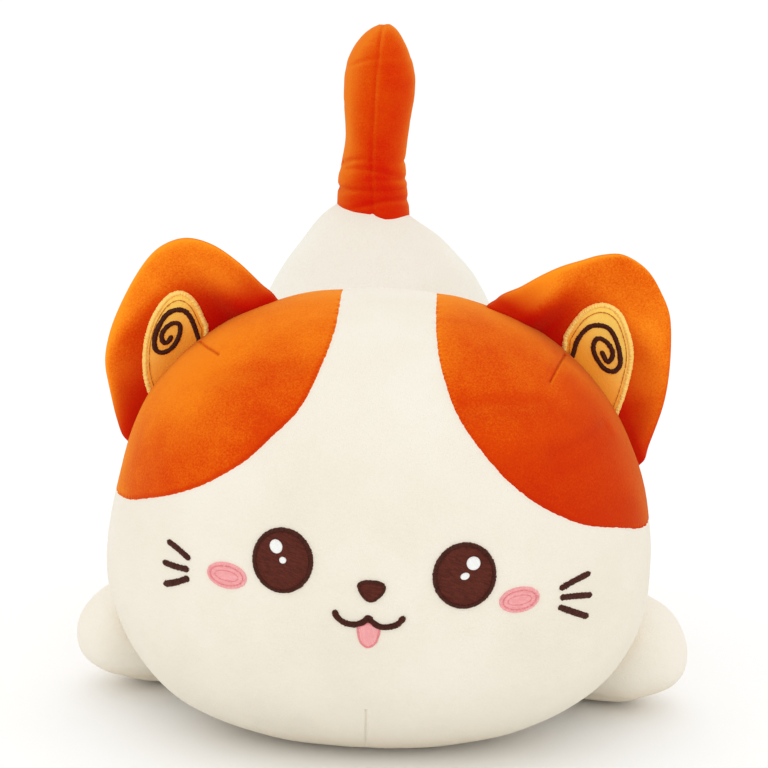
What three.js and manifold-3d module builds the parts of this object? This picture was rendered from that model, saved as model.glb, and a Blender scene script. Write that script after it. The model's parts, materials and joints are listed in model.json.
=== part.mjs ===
// Plush cat, lying with its head low between its front paws and its rump and tail up.
// Millimetres, +Z up. The face looks along -Y, so the cat's left side is +X. Z = 0 is the table.
import * as THREE from 'three';
import { mergeVertices } from 'three/addons/utils/BufferGeometryUtils.js';
import Module from 'manifold-3d';

const wasm = await Module();
wasm.setup();

// Sewn layers, from the stuffing outwards.
const FABRIC = 1.2;
const GAP = 0.3;
const STUFFING_INSET = FABRIC + GAP;
const STITCHES = 0.8;
const TIDY = 0.06;
const FAR = 600;

// Room for a faceted ball to turn in a faceted socket, and for a piece to swing past its neighbour.
const BALL_DETAIL = 2;
const SOCKET_ROOM = 1.03;
const SWING_ROOM = 3.2;
const SWING_DETAIL = 3;
const SWING_STEPS = 4;
const SWING_TIDY = 0.5;

// Head: a bun, wider low down.
const HEAD = {
  centre: [0, -98, 122], half: [148, 104, 124], power: 2.27, detail: 5, onTable: true,
  form(p) {
    const t = p.z / 124;
    p.x *= 1 - 0.115 * t + 0.04 * t * t;
  },
};
const CROWN_SEAM_BEHIND = 24;
// Edge of an orange crown patch, seen from the front, from the head's centre.
const PATCH_EDGE = [[25, 135], [25, 120], [30, 102], [39, 83], [50, 68], [62, 56], [78, 42], [96, 30.5],
  [116, 21], [136, 12.5], [170, 0]];

// Face, seen from the front, from the head's centre.
const EYE = { at: [46.5, 1], half: [16, 17.4] };
const GLINTS = [{ name: 'large', at: [4, 7], radius: 3.7 }, { name: 'small', at: [-0.4, -0.6], radius: 2.1 }];
const CHEEK = { at: [75, -11], half: [10.4, 6.8], tilt: 7 };
const NOSE = { width: 15.6, top: -5.4, bottom: -16.4 };
const MOUTH = { half: 18, ends: -22.4, lobes: -29, lobeAt: 9, middle: -25.4, thread: 3.6 };
const TONGUE = { at: [0, -37], half: [6.2, 5.6] };
const WHISKERS = [[[96.5, -6], [110, -0.5]], [[96.5, -11.6], [112, -12.2]], [[96.5, -17], [111, -24]]];
const WHISKER_THREAD = 2.8;

// Body: a loaf that climbs from the neck to the tail.
const BODY = {
  centre: [0, 106, 90], half: [84, 97, 91], power: 2.5, detail: 4, onTable: true,
  form(p) {
    const climb = THREE.MathUtils.clamp((p.y + 76) / 147, 0, 1.05);
    if (p.z > 0) {
      p.z *= 0.84 + 1.3 * climb * climb;
    }
    p.x -= 9 * climb * climb;
  },
};
const BELLY_SEAM = 24;
const NECK = { at: [0, 4, 100], ball: 44, turn: [-6, 6], nod: [-2, 7] };

// Ears: cupped lobes on a slanting seam over the head's shoulder.
const EAR = {
  centre: [100, -74, 195], half: [59, 17, 67], power: 2.2, rings: [24, 10], lean: 47,
  form(p) {
    const out = (p.x * p.x + p.z * p.z) / (63 * 63);
    p.y -= 7 * out * out;
    p.x -= 0.33 * Math.max(p.z, 0);
  },
};
const EAR_JOINT = { at: [105, -74, 198], fold: [-12, 22] };
const LINING = { at: [112, 91], half: [22, 33], tilt: 20 };
const SWIRL = { at: [121, 98], start: 11.6, end: 3, turns: 1.8, thread: 2.4 };

// Tail: two stuffed lengths, standing.
const TAIL = { x: -12.5, y: 172, sides: 16 };
const TAIL_LOWER = {
  root: 242, ball: 22, wag: [-18, 18],
  profile: [[24.4, 249], [23.2, 257], [21, 267], [20, 271.5]],
};
const TAIL_UPPER = {
  root: 275, ball: 18, bend: [-22, 22],
  profile: [[20.2, 281.5], [21.4, 296], [21.9, 314], [20.8, 333], [17, 347], [10.6, 356], [4, 360]],
};

// Legs: ball-rooted, lying on the table.
const ARM = {
  centre: [106, -7, 36.5], half: [84, 38, 38.5], power: 2.3, detail: 3, yaw: -38, onTable: true,
  form(p) {
    const swell = 0.84 + 0.16 * THREE.MathUtils.smoothstep(p.x, -60, 30);
    p.y *= swell;
    p.z *= swell;
  },
};
const ARM_JOINT = { at: [54, 35, 38], ball: 18, swing: [0, 27] };
const LEG = { centre: [82, 112, 29], half: [31, 52, 32], power: 2.4, detail: 2, yaw: 16, onTable: true };
const LEG_JOINT = { at: [66, 138, 32], ball: 14, splay: [0, 30] };
const SOLE_SEAM = 9;

const COLOUR = {
  cream: 0xf2ebd9, orange: 0xe4600f, yellow: 0xf7b95a, brown: 0x55322a,
  pink: 0xf0a0a0, white: 0xf2f3f0, fill: 0xf4f2ec,
};

// ---- making solids ----

function solid(geometry) {
  const bare = geometry.clone();
  bare.deleteAttribute('normal');
  bare.deleteAttribute('uv');
  const merged = mergeVertices(bare, 1e-4);
  return new wasm.Manifold(new wasm.Mesh({
    numProp: 3,
    vertProperties: new Float32Array(merged.attributes.position.array),
    triVerts: new Uint32Array(merged.index.array),
  }));
}

function block(low, high) {
  const size = high.map((value, axis) => value - low[axis]);
  const box = new THREE.BoxGeometry(...size);
  box.translate(...low.map((value, axis) => value + size[axis] / 2));
  return solid(box);
}

// Everything at or above a height.
const above = (z) => block([-FAR, -FAR, z], [FAR, FAR, FAR]);

// Everything on the far side (+Y) of a plane.
const behind = (y) => block([-FAR, y, -FAR], [FAR, FAR, FAR]);

// A stuffed shape, drawn in by `inset` on every side and flat on the table.
function bun(spec, inset = 0) {
  const ball = spec.rings ? new THREE.SphereGeometry(1, ...spec.rings) : new THREE.IcosahedronGeometry(1, spec.detail);
  const points = ball.attributes.position;
  const half = spec.half.map((value) => value - inset);
  const p = new THREE.Vector3();
  for (let i = 0; i < points.count; i += 1) {
    p.fromBufferAttribute(points, i);
    const reach = p.toArray().reduce((sum, value, axis) => sum + Math.abs(value / half[axis]) ** spec.power, 0);
    p.multiplyScalar(reach ** (-1 / spec.power));
    spec.form?.(p);
    points.setXYZ(i, p.x, p.y, p.z);
  }
  ball.rotateY(THREE.MathUtils.degToRad(spec.lean ?? 0));
  ball.rotateZ(THREE.MathUtils.degToRad(spec.yaw ?? 0));
  ball.translate(...spec.centre);
  const whole = solid(ball);
  return spec.onTable ? whole.intersect(above(inset)) : whole;
}

function ball(at, radius) {
  const sphere = new THREE.IcosahedronGeometry(radius, BALL_DETAIL);
  sphere.translate(...at);
  return solid(sphere);
}

// The hollow a ball turns in; `extra` opens it up further.
const socket = ({ at, ball: radius }, extra = 0) => ball(at, radius * SOCKET_ROOM + GAP + extra);

// A round piece about a standing axis through (x, y).
function turned(profile, x, y) {
  const lathe = new THREE.LatheGeometry(profile.map(([r, z]) => new THREE.Vector2(r, z)), TAIL.sides);
  lathe.rotateX(Math.PI / 2);
  lathe.translate(x, y, 0);
  return solid(lathe);
}

// A flat outline in the XZ plane, drawn through from one Y to another.
function through(points, from, to) {
  const outline = new THREE.Shape(points.map(([x, z]) => new THREE.Vector2(x, z)));
  const slab = new THREE.ExtrudeGeometry(outline, { depth: to - from, bevelEnabled: false });
  slab.rotateX(Math.PI / 2);
  slab.translate(0, to, 0);
  return solid(slab);
}

const smooth = (points, count) => new THREE.SplineCurve(points.map(([x, z]) => new THREE.Vector2(x, z)))
  .getPoints(count)
  .map((p) => [p.x, p.y]);

// The outline of a line of thread or a seam: a polyline given a width.
function ribbon(points, width) {
  const sides = [[], []];
  points.forEach(([x, z], i) => {
    const [x0, z0] = points[Math.max(i - 1, 0)];
    const [x1, z1] = points[Math.min(i + 1, points.length - 1)];
    const length = Math.hypot(x1 - x0, z1 - z0);
    const across = [-(z1 - z0) / length * width / 2, (x1 - x0) / length * width / 2];
    sides[0].push([x + across[0], z + across[1]]);
    sides[1].unshift([x - across[0], z - across[1]]);
  });
  return [...sides[0], ...sides[1]];
}

function oval([x, z], [a, b], tilt = 0, count = 20) {
  const turn = THREE.MathUtils.degToRad(tilt);
  return Array.from({ length: count }, (_, i) => {
    const t = i / count * 2 * Math.PI;
    const u = a * Math.cos(t);
    const v = b * Math.sin(t);
    return [x + u * Math.cos(turn) - v * Math.sin(turn), z + u * Math.sin(turn) + v * Math.cos(turn)];
  });
}

const spun = (item, at, axis, degrees) => {
  const there = new THREE.Matrix4().makeTranslation(...at);
  const back = there.clone().invert();
  const spin = new THREE.Matrix4().makeRotationAxis(new THREE.Vector3(...axis), THREE.MathUtils.degToRad(degrees));
  return item.transform(there.multiply(spin).multiply(back).elements);
};

// All the space a neighbour takes up, seen from a piece that turns through `range`.
function reachOf(neighbour, at, axis, [low, high]) {
  const turns = Array.from({ length: SWING_STEPS + 1 }, (_, i) => low + (high - low) * i / SWING_STEPS);
  return turns.map((angle) => spun(neighbour, at, axis, -angle))
    .reduce((sum, next) => sum.add(next))
    .simplify(SWING_TIDY);
}

// A neighbour drawn coarsely and a little large, for `reachOf`.
const roomFor = (spec) => bun({ ...spec, detail: SWING_DETAIL }, -SWING_ROOM);

const mirrored = (item) => item.mirror([1, 0, 0]);

// ---- the node list ----

const cat = new THREE.Group();
cat.name = 'plush_cat';

function node(name, item, colour, roughness = 0.9) {
  const made = item.simplify(TIDY).getMesh();
  const geometry = new THREE.BufferGeometry();
  geometry.setAttribute('position', new THREE.BufferAttribute(new Float32Array(made.vertProperties), 3));
  geometry.setIndex(new THREE.BufferAttribute(new Uint32Array(made.triVerts), 1));
  geometry.computeVertexNormals();
  const mesh = new THREE.Mesh(geometry, new THREE.MeshStandardMaterial({ color: colour, roughness, metalness: 0 }));
  mesh.name = name;
  cat.add(mesh);
}

// A piece on the cat's left (+X) and its twin on the right.
function pair(name, item, colour, roughness) {
  node(`${name}_left`, item, colour, roughness);
  node(`${name}_right`, mirrored(item), colour, roughness);
}

// ---- head ----

const headForm = bun(HEAD);
const neckSocket = socket(NECK);
const [headX, headY, headZ] = HEAD.centre;
const onFace = (points) => points.map(([x, z]) => [x + headX, z + headZ]);
const headSkin = headForm.subtract(bun(HEAD, FABRIC)).subtract(neckSocket);

const patchLine = onFace(smooth(PATCH_EDGE, 26));
const patchRegion = through([...patchLine, [headX + FAR, patchLine.at(-1)[1]], [headX + FAR, FAR],
  [patchLine[0][0], FAR]], -FAR, FAR);
const patchGroove = through(ribbon(patchLine, GAP), -FAR, FAR);
const crownSeam = headY + CROWN_SEAM_BEHIND;
const crownGroove = block([-FAR, crownSeam - GAP / 2, -FAR], [FAR, crownSeam + GAP / 2, FAR]);
const headPanels = headSkin.subtract(patchGroove).subtract(mirrored(patchGroove)).subtract(crownGroove);
const creamPanels = headPanels.subtract(patchRegion).subtract(mirrored(patchRegion));
const crownPanels = headPanels.intersect(patchRegion);

node('head_stuffing', bun(HEAD, STUFFING_INSET).subtract(neckSocket), COLOUR.fill, 1);
node('face_panel', creamPanels.subtract(behind(crownSeam)), COLOUR.cream);
node('head_back_panel', creamPanels.intersect(behind(crownSeam)), COLOUR.cream);
pair('crown_front', crownPanels.subtract(behind(crownSeam)), COLOUR.orange);
pair('crown_back', crownPanels.intersect(behind(crownSeam)), COLOUR.orange);

// ---- face ----

// A patch of stitching that follows the face; level 0 lies on the fabric, level 1 on level 0.
function stitched(points, level = 0) {
  const lift = GAP + level * (STITCHES + GAP);
  const layer = bun(HEAD, -lift - STITCHES).subtract(bun(HEAD, -lift));
  return layer.intersect(through(onFace(points), -FAR, crownSeam - 2 * GAP));
}

pair('eye', stitched(oval(EYE.at, EYE.half)), COLOUR.brown, 0.6);
GLINTS.forEach(({ name, at, radius }) => {
  const centre = [EYE.at[0] + at[0], EYE.at[1] + at[1]];
  pair(`eye_glint_${name}`, stitched(oval(centre, [radius, radius], 0, 12), 1), COLOUR.white, 0.6);
});
pair('cheek', stitched(oval(CHEEK.at, CHEEK.half, CHEEK.tilt)), COLOUR.pink, 0.7);
WHISKERS.forEach((line, i) => {
  pair(`whisker_${i + 1}`, stitched(ribbon(line, WHISKER_THREAD)), COLOUR.brown, 0.6);
});

const noseCorner = NOSE.width / 2;
node('nose', stitched(smooth([[-noseCorner, NOSE.top - 2], [-noseCorner * 0.6, NOSE.top], [noseCorner * 0.6, NOSE.top],
  [noseCorner, NOSE.top - 2], [noseCorner * 0.3, NOSE.bottom + 1], [-noseCorner * 0.3, NOSE.bottom + 1]], 18)),
COLOUR.brown, 0.6);
const mouthHalf = [[0, MOUTH.middle], [MOUTH.lobeAt * 0.45, MOUTH.lobes + 1], [MOUTH.lobeAt, MOUTH.lobes],
  [MOUTH.half * 0.8, MOUTH.lobes + 3], [MOUTH.half, MOUTH.ends]];
const mouthLine = [...mouthHalf.slice(1).reverse().map(([x, z]) => [-x, z]), ...mouthHalf];
node('mouth', stitched(ribbon(smooth(mouthLine, 20), MOUTH.thread)), COLOUR.brown, 0.6);
const mouthRoom = stitched(ribbon(smooth(mouthLine, 20), MOUTH.thread + 2 * GAP));
node('tongue', stitched(oval(TONGUE.at, TONGUE.half)).subtract(mouthRoom), COLOUR.pink, 0.6);

// ---- ears ----

const X_AXIS = [1, 0, 0];
const Y_AXIS = [0, 1, 0];
const Z_AXIS = [0, 0, 1];
const earSlope = THREE.MathUtils.degToRad(EAR.lean);
const earAxis = [Math.cos(earSlope), 0, -Math.sin(earSlope)];
const headReach = reachOf(roomFor(HEAD), EAR_JOINT.at, earAxis, EAR_JOINT.fold);
const earSkin = bun(EAR).subtract(bun(EAR, FABRIC)).subtract(headReach);
const earSeam = EAR.centre[1];
const earGroove = block([-FAR, earSeam - GAP / 2, -FAR], [FAR, earSeam + GAP / 2, FAR]);

pair('ear_stuffing', bun(EAR, STUFFING_INSET).subtract(headReach), COLOUR.fill, 1);
pair('ear_front', earSkin.subtract(earGroove).subtract(behind(earSeam)), COLOUR.orange);
pair('ear_back', earSkin.subtract(earGroove).intersect(behind(earSeam)), COLOUR.orange);

function onEar(points, level) {
  const lift = GAP + level * (STITCHES + GAP);
  const layer = bun(EAR, -lift - STITCHES).subtract(bun(EAR, -lift));
  return layer.intersect(through(onFace(points), -FAR, earSeam - 2 * GAP)).subtract(headReach);
}

pair('ear_lining', onEar(oval(LINING.at, LINING.half, LINING.tilt), 0), COLOUR.yellow);
const swirlLine = Array.from({ length: 31 }, (_, i) => {
  const along = i / 30;
  const angle = Math.PI * (1 - 2 * SWIRL.turns * along);
  const radius = SWIRL.start + (SWIRL.end - SWIRL.start) * along;
  return [SWIRL.at[0] + radius * Math.cos(angle), SWIRL.at[1] + radius * Math.sin(angle)];
});
pair('ear_swirl', onEar(ribbon(swirlLine, SWIRL.thread), 1), COLOUR.brown, 0.6);

// ---- body ----

const tailRoot = { at: [TAIL.x, TAIL.y, TAIL_LOWER.root], ball: TAIL_LOWER.ball };
const legSockets = [ARM_JOINT, LEG_JOINT].map((joint) => socket(joint));
const bodySockets = [neckSocket, socket(tailRoot), ...legSockets, ...legSockets.map(mirrored)];
const headTurning = reachOf(roomFor(HEAD), NECK.at, Z_AXIS, NECK.turn);
const headMoving = reachOf(headTurning, NECK.at, X_AXIS, NECK.nod);
const withSockets = (item) => bodySockets.reduce((rest, hollow) => rest.subtract(hollow), item).subtract(headMoving);

const bodySkin = withSockets(bun(BODY).subtract(bun(BODY, FABRIC)));
const spine = block([-GAP / 2, -FAR, BELLY_SEAM], [GAP / 2, FAR, FAR]);
const bodySides = bodySkin.subtract(spine).intersect(above(BELLY_SEAM + GAP));

node('body_stuffing', withSockets(bun(BODY, STUFFING_INSET)), COLOUR.fill, 1);
node('body_side_left', bodySides.intersect(block([0, -FAR, 0], [FAR, FAR, FAR])), COLOUR.cream);
node('body_side_right', bodySides.subtract(block([0, -FAR, 0], [FAR, FAR, FAR])), COLOUR.cream);
node('belly_panel', bodySkin.subtract(above(BELLY_SEAM)), COLOUR.cream);
node('neck_stuffing', ball(NECK.at, NECK.ball), COLOUR.fill, 1);

// ---- legs ----

// The rump leans to one side, and both legs of a pair clear the side it leans to.
const bodyRoom = roomFor(BODY).add(mirrored(roomFor(BODY)));

// A leg: stuffing with a ball at its root, an upper cover and a sole.
function leg(name, form, joint, range) {
  const off = reachOf(bodyRoom, joint.at, Z_AXIS, range).subtract(ball(joint.at, joint.ball)).add(headMoving);
  const skin = bun(form).subtract(bun(form, FABRIC)).subtract(socket(joint, 2 * GAP)).subtract(off);
  pair(`${name}_stuffing`, bun(form, STUFFING_INSET).add(ball(joint.at, joint.ball)).subtract(off), COLOUR.fill, 1);
  pair(`${name}_upper`, skin.intersect(above(SOLE_SEAM + GAP)), COLOUR.cream);
  pair(`${name}_sole`, skin.subtract(above(SOLE_SEAM)), COLOUR.cream);
}

leg('front_paw', ARM, ARM_JOINT, ARM_JOINT.swing);
leg('hind_paw', LEG, LEG_JOINT, LEG_JOINT.splay);

// ---- tail ----

const tailSeam = block([TAIL.x - GAP / 2, -FAR, -FAR], [TAIL.x + GAP / 2, FAR, FAR]);
const leftOfTail = block([TAIL.x, -FAR, -FAR], [FAR, FAR, FAR]);

// A stuffed length of tail with a ball at its root, in a two-panel sleeve; `hollow` takes the next ball.
function tailLength(name, { root, ball: radius, profile }, hollow) {
  const at = [TAIL.x, TAIL.y, root];
  const foot = profile[0][1];
  const tube = (inset) => {
    const top = profile.at(-1)[1] - inset;
    const sides = profile.map(([r, z]) => [Math.max(r - inset, 1), Math.min(z, top)]);
    return turned([[0, foot], ...sides, [0, top]], TAIL.x, TAIL.y);
  };
  const neck = turned([[0, root], [radius * 0.8, root], [profile[0][0] - STUFFING_INSET, foot + 1], [0, foot + 1]],
    TAIL.x, TAIL.y);
  const sleeve = tube(0).subtract(tube(FABRIC)).subtract(hollow).subtract(tailSeam);
  node(`${name}_stuffing`, tube(STUFFING_INSET).add(neck).add(ball(at, radius)).subtract(hollow), COLOUR.fill, 1);
  node(`${name}_sleeve_left`, sleeve.intersect(leftOfTail), COLOUR.orange);
  node(`${name}_sleeve_right`, sleeve.subtract(leftOfTail), COLOUR.orange);
}

const tailMiddle = { at: [TAIL.x, TAIL.y, TAIL_UPPER.root], ball: TAIL_UPPER.ball };
tailLength('tail_lower', TAIL_LOWER, socket(tailMiddle));
tailLength('tail_upper', TAIL_UPPER, above(FAR));

export default cat;
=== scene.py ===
"""Looks of the plush cat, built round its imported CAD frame. Metres, +Z up, the face looks along -Y."""

import json
import math

import bmesh
import bpy
import numpy as np
from mathutils import Matrix, Vector
from mathutils.bvhtree import BVHTree
from mathutils.kdtree import KDTree


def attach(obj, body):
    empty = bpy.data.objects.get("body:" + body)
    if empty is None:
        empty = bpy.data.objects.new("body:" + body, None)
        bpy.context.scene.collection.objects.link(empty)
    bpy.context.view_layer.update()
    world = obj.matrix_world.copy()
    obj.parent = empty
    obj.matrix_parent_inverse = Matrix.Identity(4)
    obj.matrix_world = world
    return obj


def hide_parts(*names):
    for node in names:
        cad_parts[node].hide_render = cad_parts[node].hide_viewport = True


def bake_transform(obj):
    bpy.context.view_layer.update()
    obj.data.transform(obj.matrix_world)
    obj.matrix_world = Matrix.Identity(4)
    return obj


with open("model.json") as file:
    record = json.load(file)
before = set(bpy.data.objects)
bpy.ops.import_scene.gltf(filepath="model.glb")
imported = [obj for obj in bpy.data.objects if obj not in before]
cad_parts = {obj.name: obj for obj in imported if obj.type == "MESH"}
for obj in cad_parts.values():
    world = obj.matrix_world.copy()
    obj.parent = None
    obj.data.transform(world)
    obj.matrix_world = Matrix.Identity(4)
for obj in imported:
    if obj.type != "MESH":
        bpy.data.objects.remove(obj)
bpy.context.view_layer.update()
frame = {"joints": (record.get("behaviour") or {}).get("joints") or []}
MM = 0.001
STITCH = 0.55 * MM

PIVOT = {j["name"]: np.array(j["pos_m"]) for j in frame["joints"]}
HEAD_CENTRE = PIVOT["head_nod"] + np.array([0, -102, 22]) * MM
SIDES = {"left": 1, "right": -1}


# ---------------------------------------------------------------- mesh helpers

def unit_ball(levels):
    """Unit icosphere as (points, triangles)."""
    bm = bmesh.new()
    bmesh.ops.create_icosphere(bm, subdivisions=levels, radius=1)
    points = np.array([v.co for v in bm.verts])
    faces = np.array([[v.index for v in f.verts] for f in bm.faces])
    bm.free()
    return unit(points), faces


def bell(x, width):
    """A smooth bump: 1 where x is 0, nearly 0 at twice the width."""
    return np.exp(-(x / width) ** 2)


def unit(vectors):
    return vectors / np.linalg.norm(vectors, axis=1)[:, None]


def smooth_step(t):
    return t * t * (3 - 2 * t)


def corners_of(points, faces):
    return (points[faces[:, i]] for i in range(3))


def places_of(mesh):
    """The vertex positions of a Blender mesh."""
    points = np.empty(3 * len(mesh.vertices), np.float32)
    mesh.vertices.foreach_get("co", points)
    return points.reshape(-1, 3)


def clip(points, faces, side, snap=1e-4):
    """The part of a triangle mesh where side >= 0, cut along side = 0."""
    side = np.where(np.abs(side) < snap, 0.0, side)
    inside = side[faces] >= 0
    whole = faces[inside.all(1) & (side[faces] > 0).any(1)]
    made, extra, seen = [], [], {}

    def crossing(a, b):
        key = (min(a, b), max(a, b))
        if key not in seen:
            t = side[a] / (side[a] - side[b])
            seen[key] = len(points) + len(extra)
            extra.append(points[a] + (points[b] - points[a]) * t)
        return seen[key]

    for face in faces[inside.any(1) & ~inside.all(1)]:
        ring = []
        for a, b in zip(face, np.roll(face, -1)):
            if side[a] >= 0:
                ring.append(a)
            if side[a] * side[b] < 0:
                ring.append(crossing(a, b))
        made += [[ring[0], ring[i], ring[i + 1]] for i in range(1, len(ring) - 1)]
    if extra:
        points = np.vstack([points, extra])
        whole = np.vstack([whole, made])
    used, renumbered = np.unique(whole, return_inverse=True)
    return points[used], renumbered.reshape(whole.shape)


def normals_of(points, faces):
    """Unit normals at the points, weighted by face area."""
    a, b, c = corners_of(points, faces)
    across = np.cross(b - a, c - a)
    total = np.zeros_like(points)
    for i in range(3):
        np.add.at(total, faces[:, i], across)
    return total / (np.linalg.norm(total, axis=1)[:, None] + 1e-12)


def skirted(points, faces, normals, depth):
    """Adds a hem that turns in along every open edge; it has its own corners, so the seam stays crisp."""
    edges = np.vstack([faces[:, [0, 1]], faces[:, [1, 2]], faces[:, [2, 0]]])
    known = {tuple(e) for e in edges.tolist()}
    border = [e for e in known if (e[1], e[0]) not in known]
    if not border:
        return points, faces
    rim = sorted({v for e in border for v in e})
    top = {v: len(points) + i for i, v in enumerate(rim)}
    low = {v: len(points) + len(rim) + i for i, v in enumerate(rim)}
    border = sorted(border)
    hem = [[top[b], top[a], low[a]] for a, b in border] + [[top[b], low[a], low[b]] for a, b in border]
    points = np.vstack([points, points[rim], points[rim] - normals[rim] * depth])
    return points, np.vstack([faces, hem])


def set_values(mesh, name, values):
    """Stores one number per point under a name, for materials to read."""
    made = mesh.attributes.new(name, "FLOAT", "POINT")
    made.data.foreach_set("value", np.asarray(values, np.float32))


def build(name, points, faces, material, **values):
    """A smooth-shaded mesh object; values are per-point numbers that its material reads."""
    mesh = bpy.data.meshes.new(name)
    mesh.vertices.add(len(points))
    mesh.vertices.foreach_set("co", np.asarray(points, np.float32).ravel())
    mesh.loops.add(3 * len(faces))
    mesh.loops.foreach_set("vertex_index", np.asarray(faces, np.int32).ravel())
    mesh.polygons.add(len(faces))
    mesh.polygons.foreach_set("loop_start", np.arange(0, 3 * len(faces), 3, dtype=np.int32))
    mesh.update(calc_edges=True)
    mesh.validate()
    mesh.shade_smooth()
    rest = mesh.attributes.new("rest", "FLOAT_VECTOR", "POINT")
    rest.data.foreach_set("vector", np.asarray(points, np.float32).ravel())
    for key, value in values.items():
        set_values(mesh, key, value)
    mesh.materials.append(material)
    thing = bpy.data.objects.new(name, mesh)
    bpy.context.scene.collection.objects.link(thing)
    return thing


def paint_shade(thing, amount):
    """Marks how much painted shade the fabric takes at each point, from 0 to 1, for its material."""
    values = np.clip(amount(places_of(thing.data).astype(float)), 0, 1).astype(np.float32)
    set_values(thing.data, "painted_shade", values)


WAVES = 7
WAVES_HEIGHT = 3.2


def waves(points, size, seed):
    """Gentle deterministic unevenness between about -1 and 1 with bumps of `size`."""
    turn = np.random.default_rng(seed)
    total = np.zeros(len(points))
    for _ in range(WAVES):
        way = turn.normal(size=3)
        way *= 2 * math.pi / size / np.linalg.norm(way) * turn.uniform(0.6, 1.3)
        total += np.sin(points @ way + turn.uniform(0, 6.28))
    return total / WAVES_HEIGHT


FAR = 30 * MM


def distance_to(points, line):
    """Distance from each point to a densely drawn line, up to FAR."""
    tree = KDTree(len(line))
    for i, place in enumerate(line):
        tree.insert(place, i)
    tree.balance()
    distance = np.full(len(points), FAR)
    near = np.flatnonzero(((points > line.min(0) - FAR) & (points < line.max(0) + FAR)).all(1))
    for i in near:
        distance[i] = min(FAR, tree.find(points[i])[2])
    return distance


def dense(points, step):
    """A polyline resampled through a smooth curve at about `step` spacing."""
    points = np.asarray(points, float)
    padded = np.vstack([2 * points[0] - points[1], points, 2 * points[-1] - points[-2]])
    made = []
    for i in range(1, len(padded) - 2):
        p0, p1, p2, p3 = padded[i - 1:i + 3]
        count = max(2, int(np.linalg.norm(p2 - p1) / step))
        t = np.linspace(0, 1, count, endpoint=False)[:, None]
        made.append(0.5 * (2 * p1 + (p2 - p0) * t + (2 * p0 - 5 * p1 + 4 * p2 - p3) * t ** 2
                           + (3 * p1 - p0 - 3 * p2 + p3) * t ** 3))
    return np.vstack([*made, points[-1:]])


CHUNK = 20000


def side_of(x, z, line):
    """Signed distance to a line in the front view; the sign says on which side of it a point is."""
    flat = np.stack([x, z], 1)
    nearest = np.full(len(flat), np.inf)
    sign = np.ones(len(flat))
    a, b = line[:-1], line[1:]
    way = b - a
    length = (way ** 2).sum(1)
    for i in range(0, len(flat), CHUNK):
        p = flat[i:i + CHUNK]
        t = np.clip(((p[:, None] - a[None]) * way[None]).sum(2) / length[None], 0, 1)
        gap = p[:, None] - (a[None] + way[None] * t[..., None])
        distance = np.sqrt((gap ** 2).sum(2))
        k = distance.argmin(1)
        rows = np.arange(len(p))
        nearest[i:i + CHUNK] = distance[rows, k]
        cross = way[k, 0] * (p[:, 1] - a[k, 1]) - way[k, 1] * (p[:, 0] - a[k, 0])
        sign[i:i + CHUNK] = np.sign(cross)
    return nearest * sign


# ---------------------------------------------------------------- materials

def new_material(name):
    """A material with its node tree and its main shader."""
    material = bpy.data.materials.new(name)
    material.use_nodes = True
    tree = material.node_tree
    return material, tree, tree.nodes["Principled BSDF"]


def put(tree, kind, **settings):
    """Adds a node; settings are its own properties or, failing that, its inputs."""
    made = tree.nodes.new("ShaderNode" + kind)
    for key, value in settings.items():
        if hasattr(made, key):
            setattr(made, key, value)
        else:
            made.inputs[key.replace("_", " ").title() if key.islower() else key].default_value = value
    return made


def stored(tree, name, output="Fac"):
    """A value that the mesh carries at its points."""
    return put(tree, "Attribute", attribute_name=name).outputs[output]


def noise(tree, where, scale, detail=3.0, roughness=0.55):
    made = put(tree, "TexNoise", scale=scale, detail=detail, roughness=roughness)
    tree.links.new(where, made.inputs["Vector"])
    return made.outputs["Fac"]


def ramp(tree, value, stops):
    made = put(tree, "ValToRGB")
    band = made.color_ramp
    while len(band.elements) < len(stops):
        band.elements.new(0.5)
    for element, (place, colour) in zip(band.elements, stops):
        element.position = place
        element.color = (*colour, 1)
    tree.links.new(value, made.inputs["Fac"])
    return made.outputs["Color"]


def maths(tree, operation, *values):
    made = put(tree, "Math", operation=operation)
    for socket, value in zip(made.inputs, values):
        if isinstance(value, (int, float)):
            socket.default_value = value
        else:
            tree.links.new(value, socket)
    return made.outputs[0]


PILE = 0.35 * MM
PLUSH_ROUGH = 0.92
THREAD_ROW_DEPTH = 0.4 * MM


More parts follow.
